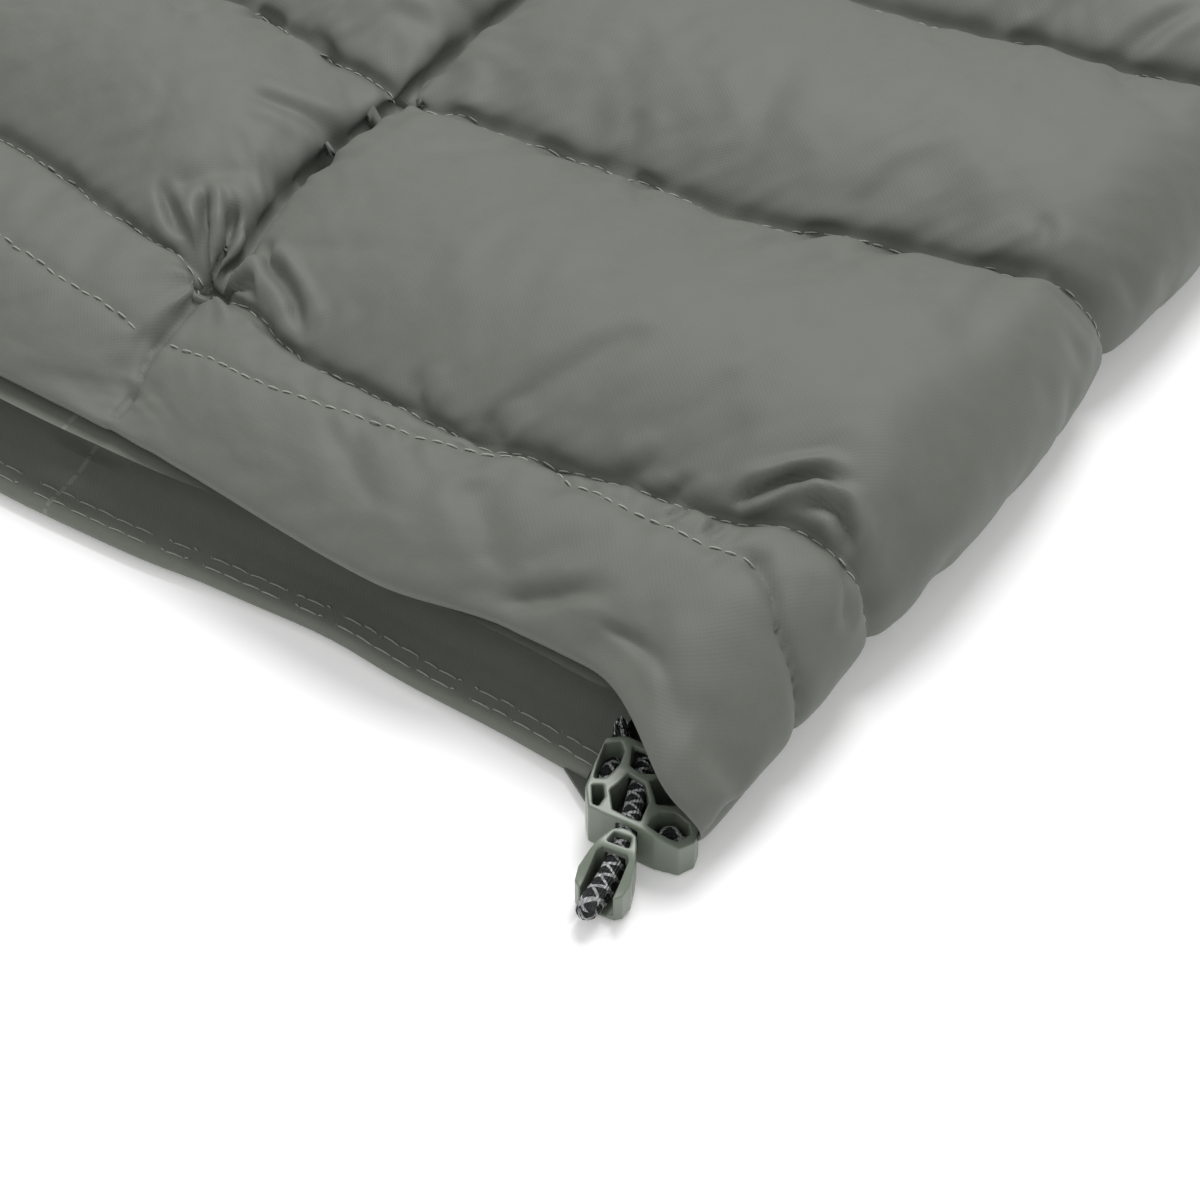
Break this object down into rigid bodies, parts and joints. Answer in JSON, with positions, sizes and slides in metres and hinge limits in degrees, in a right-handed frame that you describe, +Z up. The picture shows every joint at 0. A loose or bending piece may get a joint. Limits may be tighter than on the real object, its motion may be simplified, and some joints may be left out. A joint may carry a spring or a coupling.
{
  "type": "camp quilt",
  "caption": "Camp quilt folded in half lengthwise, sewn in chambers, with hemmed edges and an elastic foot drawcord that runs through a moulded adjuster to a pull tab.",
  "frame": {"origin": "middle of the underside, on the surface that the folded quilt lies on", "axes": "+Z up, +Y from the foot end to the head end, +X from the open side to the fold"},
  "size_m": [0.6699, 1.8719, 0.032],
  "materials": {
    "shell_fabric": "satin sage-grey plain weave, down-proof",
    "lining_fabric": "smooth darker sage-grey plain weave",
    "fill": "pale loose insulation",
    "drawcord": "black braid with pale tracer flecks",
    "moulded_plastic": "slightly translucent sage satin moulding",
    "anchor_tape": "matte woven tape",
    "thread": "sage sewing thread"
  },
  "bodies": {
    "lower_leaf": {"lower_outer_shell": "shell_fabric", "lower_lining": "lining_fabric", "lower_fill_column_1": "fill", "lower_fill_column_2": "fill", "lower_fill_column_3": "fill", "lower_fill_column_4": "fill", "lower_fill_column_5": "fill", "lower_foot_hem": "shell_fabric", "lower_head_hem": "shell_fabric", "lower_side_hem": "shell_fabric", "lower_drawcord": "drawcord", "lower_bartack": "thread", "fold_outer_shell": "shell_fabric", "fold_fill": "fill", "fold_lining": "lining_fabric", "fold_foot_hem": "shell_fabric", "fold_head_hem": "shell_fabric", "adjuster_cage": "moulded_plastic", "adjuster_anchor_tape": "anchor_tape"},
    "upper_leaf": {"upper_outer_shell": "shell_fabric", "upper_lining": "lining_fabric", "upper_fill_column_1": "fill", "upper_fill_column_2": "fill", "upper_fill_column_3": "fill", "upper_fill_column_4": "fill", "upper_fill_column_5": "fill", "upper_foot_hem": "shell_fabric", "upper_head_hem": "shell_fabric", "upper_side_hem": "shell_fabric", "upper_drawcord": "drawcord", "upper_bartack": "thread"},
    "cord_tail": {"sliding_drawcord": "drawcord"},
    "tab": {"pull_tab": "moulded_plastic", "drawcord_bight": "drawcord"}
  },
  "joints": [
    {"name": "fold_open", "type": "hinge", "parent": "lower_leaf", "child": "upper_leaf", "pos_m": [0.319, 0, 0.016], "axis": [0, 1, 0], "range_deg": [0, 179]},
    {"name": "cord_pull", "type": "slide", "parent": "lower_leaf", "child": "cord_tail", "axis": [0.3746, -0.9272, 0], "range_m": [0, 0.02]},
    {"name": "tab_swing", "type": "hinge", "parent": "cord_tail", "child": "tab", "pos_m": [0.32345, -0.93353, 0.0046], "axis": [0, 0, 1], "range_deg": [-35, 35]}
  ]
}
